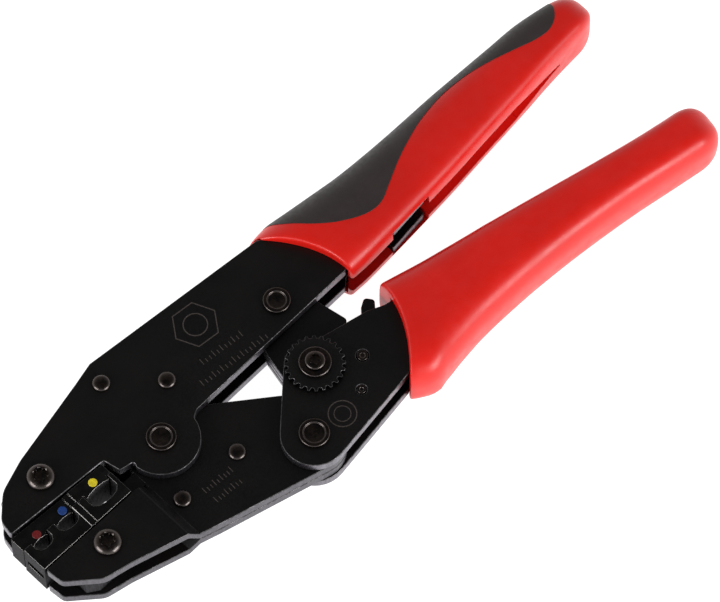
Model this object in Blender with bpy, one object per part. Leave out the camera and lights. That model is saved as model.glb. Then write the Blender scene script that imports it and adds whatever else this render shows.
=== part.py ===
"""Ratcheting crimping tool for insulated cable terminals, lying flat.

Plan coordinates are in millimetres from the main pivot: +X runs towards the handles, +Y towards the
fixed handle, and +Z is up, out of the front plate. Everything is symmetric about Z = 0 but the screw
heads and the adjusting wheel. One empty per moving body stands on its joint's axis.
"""

import math

import bpy
from mathutils import Vector, geometry

MM = 0.001

# Joint axes in plan.
MAIN_PIVOT = (0.0, 0.0)
LINK_PIVOT = (48.4, 6.8)
HANDLE_PIVOT = (28.6, -27.0)
ECCENTRIC = (42.4, -13.4)
PAWL_PIVOT = (53.2, -19.9)

# Stack of plates, measured from the middle plane outwards.
GAP = 0.25
INNER_LOW = 0.15
INNER_HIGH = 3.15
OUTER_LOW = INNER_HIGH + GAP
OUTER_HIGH = 6.45

# Shanks of the small fasteners.
RIVET_RADIUS = 1.6
SHOULDER_RADIUS = 2.6
SCREW_RADIUS = 2.0
PAWL_PIN_RADIUS = 1.5
SPRING_PIN_RADIUS = 1.2

# Fixed frame.
FRAME_EYE = 10.3
FRAME_RIVETS = [(-0.2, 22.0), (12.4, 10.7)]
TANG_RIVET = (90.0, 9.5)
TANG_END = 98.0

# Jaws and dies.
DIE_SCREW_X = -30.8
FIXED_SCREW_Y = 13.8
MOVING_SCREW_Y = -11.4
JAW_RIVETS = [(-7.2, -15.0), (12.0, -15.5)]
JOGGLE_OUTER_X = -13.8
JOGGLE_INNER_X = -10.8
JAW_EYE = 9.6
SPLIT_Y = 2.5
DIE_NOSE_X = -46.6
DIE_HEEL_X = -15.9
STEP_X = -27.8
SHALLOW_X = -29.6
# Half thickness of each die past the heel, past STEP_X and past SHALLOW_X.
FIXED_DIE_LEVELS = (6.25, 5.75, 5.2)
MOVING_DIE_LEVELS = (6.65, 6.5, 6.4)
DIE_TONGUE_REACH = 5.0
# Centre X, width, how far the punch enters and depth of the cavity for each terminal size.
NESTS = [(-21.4, 8.6, 1.3, 5.4), (-33.0, 6.4, 1.1, 4.2), (-41.4, 5.6, 1.0, 3.8)]

# Linkage.
LINK_PIN_RADIUS = 2.9
LINK_CLEARANCE = 1.6
LINK_EYE = 7.6
TOOTH_TIP = 8.8
TOOTH_ROOT = 7.9
TOOTH_PITCH = 6.5
HANDLE_EYE = 8.9
WHEEL_EYE = 8.2
WHEEL_RADIUS = 8.0
WHEEL_TEETH = 24
WHEEL_THICKNESS = 1.5
HUB_RADIUS = 3.3
SHANK_RADIUS = 2.5
CLAMP_RADIUS = 1.5
PIN_RADIUS = 3.0
ECCENTRICITY = 0.4
SPRING_PIN = (46.2, -26.6)
HANDLE_TANG_RIVET = (98.0, -23.0)
SPRING_LUG = (44.6, 15.6)

ARC_STEP = math.radians(12)
STEPS_PER_TURN = 8


# ---------------------------------------------------------------- shapes in plan


def arc(centre, radius, start, end, steps=None):
    """Sharp corners along an arc, from the angle start to the angle end in degrees."""
    sweep = math.radians(end - start)
    steps = steps or max(2, math.ceil(abs(sweep) / ARC_STEP))
    angles = [math.radians(start) + sweep * i / steps for i in range(steps + 1)]
    return [(centre[0] + radius * math.cos(a), centre[1] + radius * math.sin(a), 0) for a in angles]


def circle(centre, radius, steps=24):
    return [point[:2] for point in arc(centre, radius, 0, 360, steps)[:-1]]


def fillet(before, corner, after, radius):
    """Points of the arc that rounds a corner."""
    corner = Vector(corner)
    back = (Vector(before) - corner).normalized()
    ahead = (Vector(after) - corner).normalized()
    turn = math.pi - back.angle(ahead)
    if radius == 0 or turn < 0.02:
        return [tuple(corner)]
    reach = radius * math.tan(turn / 2)
    centre = corner + (back + ahead).normalized() * radius / math.cos(turn / 2)
    first = corner + back * reach - centre
    last = corner + ahead * reach - centre
    steps = max(2, math.ceil(turn / (2 * ARC_STEP if radius < 2 else ARC_STEP)))
    points = []
    for i in range(steps + 1):
        direction = first.slerp(last, i / steps)
        points.append(tuple(centre + direction.normalized() * radius))
    return points


def rounded(corners):
    """Outline through corners of (x, y, radius)."""
    points = []
    for i, (x, y, radius) in enumerate(corners):
        before = corners[i - 1][:2]
        after = corners[(i + 1) % len(corners)][:2]
        points += fillet(before, (x, y), after, radius)
    return points


def area(points):
    pairs = zip(points, points[1:] + points[:1])
    return sum(a[0] * b[1] - b[0] * a[1] for a, b in pairs) / 2


def grown(points, distance):
    """Outline moved outwards by a distance."""
    turn = math.copysign(distance, area(points))
    moved = []
    for i, (x, y) in enumerate(points):
        before, after = points[i - 1], points[(i + 1) % len(points)]
        along = (Vector(after) - Vector(before)).normalized()
        moved.append((x + along.y * turn, y - along.x * turn))
    return moved


def inside(x, y, loops):
    """Whether a point is inside the first loop and outside the others, by the even-odd rule."""
    crossings = 0
    for loop in loops:
        for (x0, y0), (x1, y1) in zip(loop, loop[1:] + loop[:1]):
            if (y0 > y) != (y1 > y) and x < x0 + (x1 - x0) * (y - y0) / (y1 - y0):
                crossings += 1
    return crossings % 2 == 1


def triangles_in(loops):
    """Triangles that fill an outline with holes, as indices into all its points in order."""
    points = [Vector(point) for loop in loops for point in loop]
    edges = []
    for loop in loops:
        first = len(edges)
        edges += [(first + i, first + (i + 1) % len(loop)) for i in range(len(loop))]
    found = geometry.delaunay_2d_cdt(points, edges, [], 0, 1e-7)
    triangles = []
    for face in found[2]:
        corners = [found[0][index] for index in face]
        middle = (corners[0] + corners[1] + corners[2]) / 3
        if inside(middle.x, middle.y, loops):
            triangles.append([found[3][index][0] for index in face])
    return triangles


def smooth_value(knots, x):
    """Height at x of a smooth curve through knots of (x, height)."""
    if x <= knots[0][0]:
        return knots[0][1]
    for i in range(len(knots) - 1):
        (x0, y0), (x1, y1) = knots[i], knots[i + 1]
        if x > x1:
            continue
        before = knots[max(i - 1, 0)]
        after = knots[min(i + 2, len(knots) - 1)]
        slope0 = (y1 - before[1]) / (x1 - before[0])
        slope1 = (after[1] - y0) / (after[0] - x0)
        t = (x - x0) / (x1 - x0)
        start = (2 * t**3 - 3 * t**2 + 1) * y0 + (t**3 - 2 * t**2 + t) * (x1 - x0) * slope0
        return start + (3 * t**2 - 2 * t**3) * y1 + (t**3 - t**2) * (x1 - x0) * slope1
    return knots[-1][1]


# ---------------------------------------------------------------- solids


class Solid:
    """Vertices in plan millimetres and the faces between them, collected bit by bit."""

    def __init__(self):
        self.vertices = []
        self.faces = []

    def add(self, x, y, z):
        self.vertices.append((x, y, z))
        return len(self.vertices) - 1

    def ring(self, points, z):
        return [self.add(x, y, z) for x, y in points]

    def walls(self, low, high, closed=True):
        count = len(low) if closed else len(low) - 1
        for i in range(count):
            j = (i + 1) % len(low)
            self.faces.append((low[i], low[j], high[j], high[i]))

    def plate(self, outline, holes, low, high, open_edge=False):
        """Flat plate. With open_edge, the wall from the outline's last point to its first is left out."""
        loops = [outline if area(outline) > 0 else outline[::-1]]
        loops += [hole if area(hole) < 0 else hole[::-1] for hole in holes]
        below = [self.ring(loop, low) for loop in loops]
        above = [self.ring(loop, high) for loop in loops]
        for i, (lower, upper) in enumerate(zip(below, above)):
            self.walls(lower, upper, closed=i > 0 or not open_edge)
        lower = [index for ring in below for index in ring]
        upper = [index for ring in above for index in ring]
        for a, b, c in triangles_in(loops):
            self.faces.append((upper[a], upper[b], upper[c]))
            self.faces.append((lower[a], lower[c], lower[b]))
        return below[0], above[0]

    def turned(self, centre, profile, steps=24):
        """Solid of revolution. The profile of (radius, z) runs up from the axis and back to it."""
        rings = []
        for radius, z in profile:
            if radius == 0:
                rings.append([self.add(*centre, z)])
            else:
                rings.append(self.ring(circle(centre, radius, steps), z))
        for lower, upper in zip(rings, rings[1:]):
            self.span(lower, upper)

    def span(self, lower, upper):
        count = max(len(lower), len(upper))
        for i in range(count):
            j = (i + 1) % count
            if len(lower) == 1:
                self.faces.append((lower[0], upper[j], upper[i]))
            elif len(upper) == 1:
                self.faces.append((lower[i], lower[j], upper[0]))
            else:
                self.faces.append((lower[i], lower[j], upper[j], upper[i]))

    def tube(self, path, radius, sides=6):
        """Round wire along a path of points, with flat ends."""
        path = [Vector(point) for point in path]
        rings = []
        side = None
        for i, point in enumerate(path):
            ahead = (path[min(i + 1, len(path) - 1)] - path[max(i - 1, 0)]).normalized()
            side = ahead.orthogonal() if side is None else side - ahead * side.dot(ahead)
            side.normalize()
            other = ahead.cross(side)
            angles = [2 * math.pi * k / sides for k in range(sides)]
            spokes = [side * math.cos(a) + other * math.sin(a) for a in angles]
            rings.append([self.add(*(point + spoke * radius)) for spoke in spokes])
        for lower, upper in zip(rings, rings[1:]):
            self.span(lower, upper)
        self.faces.append(tuple(rings[0][::-1]))
        self.faces.append(tuple(rings[-1]))

    def loft(self, sections):
        for lower, upper in zip(sections, sections[1:]):
            self.span(lower, upper)
        self.faces += [face[::-1] for face in across(sections[0])]
        self.faces += across(sections[-1])


def across(ring):
    """Faces that close a ring symmetric about its first point, each between points opposite each other."""
    count = len(ring)
    faces = [(ring[0], ring[1], ring[-1])]
    for i in range(1, count // 2 - 1):
        faces.append((ring[i], ring[i + 1], ring[count - i - 1], ring[count - i]))
    faces.append((ring[count // 2 - 1], ring[count // 2], ring[count // 2 + 1]))
    return faces


def mirror_z(low, high, front):
    """The same stretch of Z in front of the middle plane or behind it."""
    return (low, high) if front else (-high, -low)


# ---------------------------------------------------------------- scene


def clear_scene():
    for existing in list(bpy.data.objects):
        bpy.data.objects.remove(existing)


def material(name, colour, roughness, metallic):
    made = bpy.data.materials.get(name) or bpy.data.materials.new(name)
    made.use_nodes = True
    made.diffuse_color = (*colour, 1)
    shader = made.node_tree.nodes["Principled BSDF"]
    shader.inputs["Base Color"].default_value = (*colour, 1)
    shader.inputs["Roughness"].default_value = roughness
    shader.inputs["Metallic"].default_value = metallic
    return made


def body(name, pivot, parent):
    empty = bpy.data.objects.new(name, None)
    bpy.context.collection.objects.link(empty)
    empty.parent = parent
    origin = parent["pivot"] if parent else (0.0, 0.0)
    empty.location = ((pivot[0] - origin[0]) * MM, (pivot[1] - origin[1]) * MM, 0)
    empty["pivot"] = pivot
    return empty


def piece(name, solid, owner, finish):
    """Object made of a solid, with its origin on the axis of the body that owns it."""
    pivot = owner["pivot"]
    mesh = bpy.data.meshes.new(name)
    points = [((x - pivot[0]) * MM, (y - pivot[1]) * MM, z * MM) for x, y, z in solid.vertices]
    mesh.from_pydata(points, [], solid.faces)
    mesh.validate()
    made = bpy.data.objects.new(name, mesh)
    bpy.context.collection.objects.link(made)
    made.parent = owner
    made.data.materials.append(finish)
    mesh.shade_smooth()
    mesh.set_sharp_from_angle(angle=math.radians(32))
    return made


def cutter(name, solid, owner, finish):
    made = piece(name, solid, owner, finish)
    made.hide_render = True
    made.hide_set(True)
    made.display_type = "WIRE"
    return made


def combine(target, other, operation):
    modifier = target.modifiers.new(other.name, "BOOLEAN")
    modifier.operation = operation
    modifier.object = other


def flat_piece(name, outline, holes, low, high, owner, finish):
    solid = Solid()
    solid.plate(outline, holes, low, high)
    return piece(name, solid, owner, finish)


def flat_cutter(name, outline, low, high, owner, finish):
    solid = Solid()
    solid.plate(outline, [], low, high)
    return cutter(name, solid, owner, finish)


# ---------------------------------------------------------------- fixed frame


def frame_outline():
    corners = [
        (-46.0, 7.7, 0.8),
        (-14.9, 5.9, 0.6),
        (-13.8, 1.0, 0.6),
        (-9.6, 0.2, 0.6),
        *arc(MAIN_PIVOT, FRAME_EYE, 188, 350),
        (12.2, -0.6, 2.0),
        (67.6, 0.6, 1.0),
        (69.5, 2.4, 1.0),
        (84.3, 3.7, 0.5),
        (84.3, -0.2, 0.6),
        (97.3, 1.2, 0.6),
        (97.3, 4.9, 0),
        (TANG_END, 5.0, 0),
        (TANG_END, 13.0, 2.0),
        (62.0, 19.6, 3.0),
        (57.0, 23.2, 0),
        (1.6, 28.3, 1.5),
        (-4.9, 26.7, 1.0),
        (-30.0, 21.1, 12.0),
        (-39.2, 17.9, 7.0),
        (-45.2, 12.2, 4.0),
    ]
    return rounded(corners)


def make_frame_plates(frame, steel):
    holes = [circle(MAIN_PIVOT, PIN_RADIUS + GAP), circle(LINK_PIVOT, LINK_PIN_RADIUS + GAP)]
    holes += [circle(centre, RIVET_RADIUS + GAP, 16) for centre in [*FRAME_RIVETS, TANG_RIVET]]
    holes.append(circle((DIE_SCREW_X, FIXED_SCREW_Y), SCREW_RADIUS + GAP, 16))
    for side in ("front", "back"):
        low, high = mirror_z(OUTER_LOW, OUTER_HIGH, side == "front")
        flat_piece(f"frame_plate_{side}", frame_outline(), holes, low, high, frame, steel)


def rivet_head(face):
    """Profile of a low dome, from the shank's radius at a face up to its crown on the axis."""
    dome = [(RIVET_RADIUS, 0), (2.4, 0), (2.3, 0.4), (1.7, 0.85), (0.8, 1.05), (0, 1.1)]
    return [(radius, face + height) for radius, height in dome]


def make_shouldered_rivet(name, centre, owner, steel):
    """Rivet whose thick middle keeps two plates apart, with a low dome outside each plate."""
    half = [(SHOULDER_RADIUS, INNER_HIGH), (RIVET_RADIUS, INNER_HIGH), *rivet_head(OUTER_HIGH + GAP)]
    profile = [(radius, -z) for radius, z in half[::-1]] + half
    solid = Solid()
    solid.turned(centre, profile, 16)
    piece(name, solid, owner, steel)


def make_tang_rivet(name, centre, owner, steel):
    """Flush rivet with a thick middle, hidden inside a grip."""
    half = [(SHOULDER_RADIUS, INNER_HIGH), (RIVET_RADIUS, INNER_HIGH), (RIVET_RADIUS, OUTER_HIGH)]
    half.append((0, OUTER_HIGH))
    profile = [(radius, -z) for radius, z in half[::-1]] + half
    solid = Solid()
    solid.turned(centre, profile, 12)
    piece(name, solid, owner, steel)


def make_ring_pin(name, centre, shank, head, owner, steel):
    """Pivot pin riveted over at both ends, each head a low ring around a flat dimple."""
    face = OUTER_HIGH + GAP
    half = [(shank, face), (head, face), (head, face + 0.7), (head - 0.4, face + 1.0)]
    half += [(head - 1.0, face + 1.0), (head - 1.4, face + 0.6), (0, face + 0.6)]
    profile = [(radius, -z) for radius, z in half[::-1]] + half
    solid = Solid()
    solid.turned(centre, profile)
    piece(name, solid, owner, steel)


def star_outline(centre, radius):
    """Six-lobed socket."""
    points = []
    for i in range(36):
        angle = math.radians(10 * i)
        reach = radius * (1 + 0.16 * math.cos(6 * angle))
        points.append((centre[0] + reach * math.cos(angle), centre[1] + reach * math.sin(angle)))
    return points


def make_button_screw(name, centre, owner, steel):
    """Button-head screw down through both plates, with a six-lobed socket."""
    face = OUTER_HIGH + GAP
    profile = [(0, -6.3), (1.7, -6.3), (SCREW_RADIUS, -6.0), (SCREW_RADIUS, face), (3.75, face)]
    profile += [(3.75, face + 0.35), (3.55, face + 1.0), (3.0, face + 1.6)]
    profile += [(2.2, face + 1.95), (0, face + 2.0)]
    solid = Solid()
    solid.turned(centre, profile)
    screw = piece(name, solid, owner, steel)
    star = star_outline(centre, 1.75)
    socket = flat_cutter(f"{name}_socket", star, face + 0.7, face + 3, owner, steel)
    combine(screw, socket, "DIFFERENCE")


# ---------------------------------------------------------------- dies


def punch(centre, width, enter):
    """Blunt punch with a hollow end, standing down from the split line."""
    half = width / 2
    low = SPLIT_Y - enter
    side = half - 0.3
    points = [(centre - side, SPLIT_Y), (centre - side, low), (centre - half * 0.55, low + 0.45)]
    points += [(centre, low + 0.65), (centre + half * 0.55, low + 0.45)]
    return points + [(centre + side, low), (centre + side, SPLIT_Y)]


def cavity(centre, width, depth):
    """Round-bottomed cavity below the split line."""
    half = width / 2
    top = SPLIT_Y - GAP
    floor = SPLIT_Y - depth
    points = [(centre - half, top), (centre - half, floor + 1.6), (centre - half * 0.72, floor + 0.45)]
    points += [(centre - half * 0.3, floor), (centre + half * 0.3, floor)]
    return points + [(centre + half * 0.72, floor + 0.45), (centre + half, floor + 1.6), (centre + half, top)]


def die_outline(fixed):
    face = SPLIT_Y if fixed else SPLIT_Y - GAP
    back = 5.55 if fixed else -5.35
    nose_back = 7.15 if fixed else -5.35
    outline = [(DIE_NOSE_X, face)]
    for centre, width, enter, depth in sorted(NESTS):
        outline += punch(centre, width, enter) if fixed else cavity(centre, width, depth)
    return outline + [(DIE_HEEL_X, face), (DIE_HEEL_X, back), (DIE_NOSE_X, nose_back)]


def make_die(name, screw_y, fixed, owner, steel):
    """Die block: a head stepped in thickness between the jaw plates, and a tongue that the screw holds."""
    thickest, stepped, shallow = FIXED_DIE_LEVELS if fixed else MOVING_DIE_LEVELS
    head = flat_piece(name, die_outline(fixed), [], -thickest, thickest, owner, steel)
    for end, half in ((SHALLOW_X, shallow), (STEP_X, stepped)):
        region = [(-60, -20), (end, -20), (end, 20), (-60, 20)]
        for side in ("front", "back"):
            low, high = mirror_z(half, 9.0, side == "front")
            step = flat_cutter(f"{name}_step_{side}_{int(-end)}", region, low, high, owner, steel)
            combine(head, step, "DIFFERENCE")
    away = 1 if fixed else -1
    root = 4.55 if fixed else -4.35
    tongue = [(-41.0, root), (-20.0, root), (-20.0, screw_y + 3.5 * away)]
    tongue += [(-23.0, screw_y + DIE_TONGUE_REACH * away), (-38.0, screw_y + DIE_TONGUE_REACH * away)]
    tongue.append((-41.0, screw_y + 3 * away))
    solid = Solid()
    hole = circle((DIE_SCREW_X, screw_y), SCREW_RADIUS + GAP, 16)
    solid.plate(tongue, [hole], -INNER_HIGH, INNER_HIGH)
    combine(head, cutter(f"{name}_tongue", solid, owner, steel), "UNION")
    slot = [(-60, -4.6), (DIE_NOSE_X + 1.6, -4.6), (DIE_NOSE_X + 1.6, 1.2), (-60, 1.2)]
    if not fixed:
        combine(head, flat_cutter(f"{name}_slot", slot, -1.1, 1.1, owner, steel), "DIFFERENCE")


# ---------------------------------------------------------------- moving jaw


def jaw_front_outline():
    corners = [
        (JOGGLE_OUTER_X, -5.75, 0),
        (-46.4, -5.75, 0.6),
        (-45.9, -11.0, 2.5),
        (-37.6, -18.0, 5.0),
        (-29.9, -19.6, 0),
        (JOGGLE_OUTER_X, -24.2, 0),
    ]
    return rounded(corners)


def jaw_tail_outline():
    corners = [
        (JOGGLE_INNER_X, -25.2, 0),
        (-5.0, -26.9, 4.0),
        *arc(HANDLE_PIVOT, 8.5, -105, -10),
        (36.2, -22.0, 3.0),
        (31.6, -12.2, 1.5),
        *arc(MAIN_PIVOT, JAW_EYE, 52.7, 152, 8),
        (JOGGLE_INNER_X, 0.2, 1.0),
        (JOGGLE_INNER_X, -6.6, 0),
    ]
    return rounded(corners)


def make_jaw_plate(side, jaw, steel):
    """Plate that steps inwards from beside the die to run between the frame plates."""
    front = side == "front"
    outer = mirror_z(OUTER_LOW, OUTER_HIGH, front)
    inner = mirror_z(INNER_LOW, INNER_HIGH, front)
    pivot_holes = [circle(MAIN_PIVOT, PIN_RADIUS + GAP), circle(HANDLE_PIVOT, PIN_RADIUS + GAP)]
    rivet_holes = [circle(centre, RIVET_RADIUS + GAP, 16) for centre in JAW_RIVETS]
    screw_hole = circle((DIE_SCREW_X, MOVING_SCREW_Y), SCREW_RADIUS + GAP, 16)
    solid = Solid()
    head = solid.plate(jaw_front_outline(), [screw_hole], *outer, open_edge=True)
    tail = solid.plate(jaw_tail_outline(), pivot_holes + rivet_holes, *inner, open_edge=True)
    (head_low, head_high), (tail_low, tail_high) = head, tail
    solid.faces.append((head_high[-1], tail_high[0], tail_high[-1], head_high[0]))
    solid.faces.append((head_low[-1], head_low[0], tail_low[-1], tail_low[0]))
    solid.faces.append((head_low[-1], tail_low[0], tail_high[0], head_high[-1]))
    solid.faces.append((tail_low[-1], head_low[0], head_high[0], tail_high[-1]))
    piece(f"jaw_plate_{side}", solid, jaw, steel)


def make_jaw_rivet(name, centre, jaw, steel):
    half = rivet_head(INNER_HIGH + GAP)
    profile = [(radius, -z) for radius, z in half[::-1]] + half
    solid = Solid()
    solid.turned(centre, profile, 16)
    piece(name, solid, jaw, steel)


# ---------------------------------------------------------------- toggle link, pawl and adjuster


def link_outline():
    teeth = []
    count = 10
    for i in range(count):
        angle = -62 + i * TOOTH_PITCH
        teeth += arc(ECCENTRIC, TOOTH_ROOT, angle, angle, 1)[:1]
        teeth += arc(ECCENTRIC, TOOTH_TIP, angle + 0.8, angle + 0.8, 1)[:1]
        teeth += arc(ECCENTRIC, TOOTH_TIP, angle + 2.0, angle + 2.0, 1)[:1]
    corners = [
        *arc(ECCENTRIC, TOOTH_ROOT, 165, 292, 12),
        *teeth,
        (50.9, -10.2, 0.6),
        (59.0, -9.0, 1.2),
        (56.6, 3.0, 3.0),
        *arc(LINK_PIVOT, LINK_EYE, 10, 75, 5),
        (48.2, 18.2, 1.8),
        (42.6, 18.2, 1.8),
        *arc(LINK_PIVOT, LINK_EYE, 140, 175, 3),
        (36.8, -1.5, 2.0),
    ]
    return rounded(corners)


def make_link(link, steel):
    """Toggle link laminated from three plates, toothed round the eccentric end."""
    holes = [
        circle(LINK_PIVOT, LINK_PIN_RADIUS + LINK_CLEARANCE),
        circle(ECCENTRIC, PIN_RADIUS + ECCENTRICITY + GAP),
        circle(SPRING_LUG, 1.3, 12),
    ]
    thickness = (2 * INNER_HIGH - 2 * GAP) / 3
    for i, place in enumerate(("back", "middle", "front")):
        low = -INNER_HIGH + i * (thickness + GAP)
        flat_piece(f"link_plate_{place}", link_outline(), holes, low, low + thickness, link, steel)


def pawl_outline():
    tip = arc(ECCENTRIC, TOOTH_TIP + 0.35, 6, 6, 1)[0][:2]
    corners = [
        *arc(PAWL_PIVOT, 3.1, 215, 335, 6),
        (57.5, -18.4, 1.5),
        (64.6, -13.4, 2.0),
        (68.2, -9.4, 1.0),
        (66.5, -7.1, 0.9),
        (63.9, -8.6, 0.8),
        (61.4, -11.8, 1.5),
        (57.6, -14.0, 1.5),
        (54.2, -11.6, 0.8),
        (*tip, 0),
        (53.0, -13.6, 0),
        (52.9, -15.5, 1.0),
        *arc(PAWL_PIVOT, 3.1, 100, 150, 3),
        (48.7, -21.7, 0.6),
        (49.9, -23.4, 0.6),
    ]
    return rounded(corners)


def make_pawl(pawl, handle, steel):
    hole = circle(PAWL_PIVOT, PAWL_PIN_RADIUS + GAP, 16)
    flat_piece("ratchet_pawl", pawl_outline(), [hole], -2.6, 2.6, pawl, steel)
    pins = [("pawl_pin", PAWL_PIVOT, PAWL_PIN_RADIUS), ("pawl_spring_pin", SPRING_PIN, SPRING_PIN_RADIUS)]
    end = OUTER_HIGH + 0.15
    for name, centre, radius in pins:
        solid = Solid()
        half = [(radius, end - 0.3), (radius - 0.3, end), (0, end)]
        profile = [(radius, -z) for radius, z in half[::-1]] + half
        solid.turned(centre, profile, 16)
        piece(name, solid, handle, steel)


def make_adjuster(adjuster, steel, dark_steel):
    """Toothed wheel on the eccentric pin that sets the crimping force, with its clamping screw."""
    face = OUTER_HIGH + GAP
    outline = []
    root = WHEEL_RADIUS - 0.9
    for i in range(WHEEL_TEETH):
        angle = 360 * i / WHEEL_TEETH
        for offset, radius in ((0, WHEEL_RADIUS), (5, WHEEL_RADIUS), (7.5, root), (12.5, root)):
            outline.append(arc(ECCENTRIC, radius, angle + offset, angle + offset, 1)[0][:2])
    bore = circle(ECCENTRIC, HUB_RADIUS + GAP)
    flat_piece("adjusting_wheel", outline, [bore], face, face + WHEEL_THICKNESS, adjuster, dark_steel)
    make_eccentric_pin(adjuster, face, steel)
    make_adjuster_screw(adjuster, face + WHEEL_THICKNESS + 1.2 + GAP, dark_steel)


def make_eccentric_pin(adjuster, face, steel):
    """Shank turned about the adjuster's axis, with the link's journal standing off that axis."""
    offset = (ECCENTRIC[0] + ECCENTRICITY, ECCENTRIC[1])
    cam = INNER_HIGH + GAP / 2
    solid = Solid()
    solid.turned(offset, [(0, -cam), (PIN_RADIUS, -cam), (PIN_RADIUS, cam), (0, cam)])
    pin = piece("eccentric_pin", solid, adjuster, steel)
    top = face + WHEEL_THICKNESS
    profile = [(0, -top), (3.6, -top), (3.9, -top + 0.4), (3.9, -face), (SHANK_RADIUS, -face)]
    profile += [(SHANK_RADIUS, face), (HUB_RADIUS, face), (HUB_RADIUS, top + GAP), (4.4, top + GAP)]
    profile += [(4.4, top + 0.9), (4.1, top + 1.2), (0, top + 1.2)]
    solid = Solid()
    solid.turned(ECCENTRIC, profile)
    combine(pin, cutter("eccentric_shank", solid, adjuster, steel), "UNION")
    bore = circle(ECCENTRIC, CLAMP_RADIUS + GAP, 16)
    combine(pin, flat_cutter("eccentric_bore", bore, -2, top + 3, adjuster, steel), "DIFFERENCE")


def make_adjuster_screw(adjuster, face, steel):
    """Small button-head screw in the end of the eccentric pin."""
    profile = [(0, -1.5), (CLAMP_RADIUS, -1.5), (CLAMP_RADIUS, face), (2.7, face), (2.7, face + 0.5)]
    profile += [(2.3, face + 1.0), (0, face + 1.05)]
    solid = Solid()
    solid.turned(ECCENTRIC, profile)
    screw = piece("adjuster_screw", solid, adjuster, steel)
    star = star_outline(ECCENTRIC, 1.3)
    combine(screw, flat_cutter("adjuster_socket", star, face + 0.4, face + 2, adjuster, steel), "DIFFERENCE")


def coil(start, end, radius, turns, lead):
    """Path of a tension spring: a straight lead, a helix about the line from start to end, and a lead."""
    start, end = Vector(start), Vector(end)
    along = (end - start).normalized()
    across = Vector((-along.y, along.x, 0))
    up = Vector((0, 0, 1))
    length = (end - start).length - 2 * lead
    path = [start, start + along * lead * 0.8]
    steps = STEPS_PER_TURN * turns
    for i in range(steps + 1):
        angle = 2 * math.pi * i / STEPS_PER_TURN
        centre = start + along * (lead + length * i / steps)
        path.append(centre + (across * math.cos(angle) + up * math.sin(angle)) * radius)
    path += [end - along * lead * 0.8, end]
    return path


def make_springs(frame, handle, steel):
    first = FRAME_RIVETS[1]
    solid = Solid()
    start = (first[0] + 3.4, first[1] + 0.5, 0)
    end = (SPRING_LUG[0] - 3.6, SPRING_LUG[1] - 0.4, 0)
    solid.tube(coil(start, end, 2.0, 12, 1.5), 0.45)
    piece("return_spring", solid, frame, steel)
    solid = Solid()
    pawl_end = (SPRING_PIN[0] + 2.3, SPRING_PIN[1] + 3.7, 0)
    pin_end = (SPRING_PIN[0] + 1.0, SPRING_PIN[1] + 1.6, 0)
    solid.tube(coil(pin_end, pawl_end, 0.9, 4, 0.2), 0.22, 5)
    piece("pawl_spring", solid, handle, steel)


# ---------------------------------------------------------------- moving handle


def handle_outline():
    corners = [
        *arc(HANDLE_PIVOT, HANDLE_EYE, 278, 133),
        *arc(ECCENTRIC, WHEEL_EYE, 133, 60),
        (49.6, -8.6, 2.0),
        (63.2, -11.6, 2.0),
        (67.5, -13.6, 4.0),
        (108.0, -20.0, 2.0),
        (108.0, -26.6, 2.0),
        (63.5, -28.9, 3.0),
        (58.2, -31.9, 0),
    ]
    return rounded(corners)


def make_handle_plates(handle, steel):
    holes = [
        circle(HANDLE_PIVOT, PIN_RADIUS + GAP),
        circle(ECCENTRIC, SHANK_RADIUS + GAP),
        circle(PAWL_PIVOT, PAWL_PIN_RADIUS + GAP, 16),
        circle(SPRING_PIN, SPRING_PIN_RADIUS + GAP, 16),
        circle(HANDLE_TANG_RIVET, RIVET_RADIUS + GAP, 16),
    ]
    for side in ("front", "back"):
        low, high = mirror_z(OUTER_LOW, OUTER_HIGH, side == "front")
        flat_piece(f"handle_plate_{side}", handle_outline(), holes, low, high, handle, steel)


# ---------------------------------------------------------------- grips


def grip_sections(solid, grip, inset=0.0, around=24):
    """Rings of points along a grip, inset below its surface."""
    start, end, cap = grip["start"], grip["end"] - inset, grip["cap"] - inset
    body_end = end - cap
    stations = [start + (body_end - start) * i / 16 for i in range(17)]
    stations += [body_end + cap * math.sin(math.radians(a)) for a in (20, 38, 54, 68, 79, 86)]
    rings = []
    for x in stations:
        low = smooth_value(grip["low"], x) + inset
        high = smooth_value(grip["high"], x) - inset
        half = smooth_value(grip["thick"], x) - inset
        shrink = 1.0
        if x > body_end:
            shrink = math.sqrt(max(0.0, 1 - ((x - body_end) / cap) ** 2))
        middle, spread = (low + high) / 2, (high - low) / 2 * shrink
        fade = max(0.0, 1 - (x - start) / grip["fade"])
        ring = []
        for i in range(around):
            angle = 2 * math.pi * i / around
            c, s = math.cos(angle), math.sin(angle)
            power = 2 / grip["squareness"]
            y = middle + spread * math.copysign(abs(c) ** power, c)
            z = half * shrink * math.copysign(abs(s) ** power, s)
            shift = (grip["mouth"](y) - start) * fade + grip["lean"] * (y - middle) * (1 - fade)
            ring.append(solid.add(x + shift, y, z))
        rings.append(ring)
    return rings


FIXED_GRIP = {
    "start": 67.8,
    "end": 169.0,
    "cap": 7.5,
    "fade": 30.0,
    "lean": 0.0,
    "squareness": 3.6,
    "mouth": lambda y: 67.8 - 0.02 * max(y, 0) ** 2,
    "low": [
        (67.8, -1.5),
        (74, -1.7),
        (82, -1.4),
        (93, -0.1),
        (108, 1.6),
        (122, 3.1),
        (137, 4.5),
        (152, 5.5),
        (170, 6.6),
    ],
    "high": [
        (67.8, 25.6),
        (72, 26.2),
        (77, 25.4),
        (82, 24.4),
        (88, 23.4),
        (95, 22.7),
        (103, 22.5),
        (112, 22.7),
        (121, 22.6),
        (131, 22.0),
        (141, 21.1),
        (152, 20.4),
        (170, 17.6),
    ],
    "thick": [(67.8, 9.8), (74, 10.1), (90, 9.8), (120, 9.4), (150, 9.0), (170, 8.4)],
}

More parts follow.
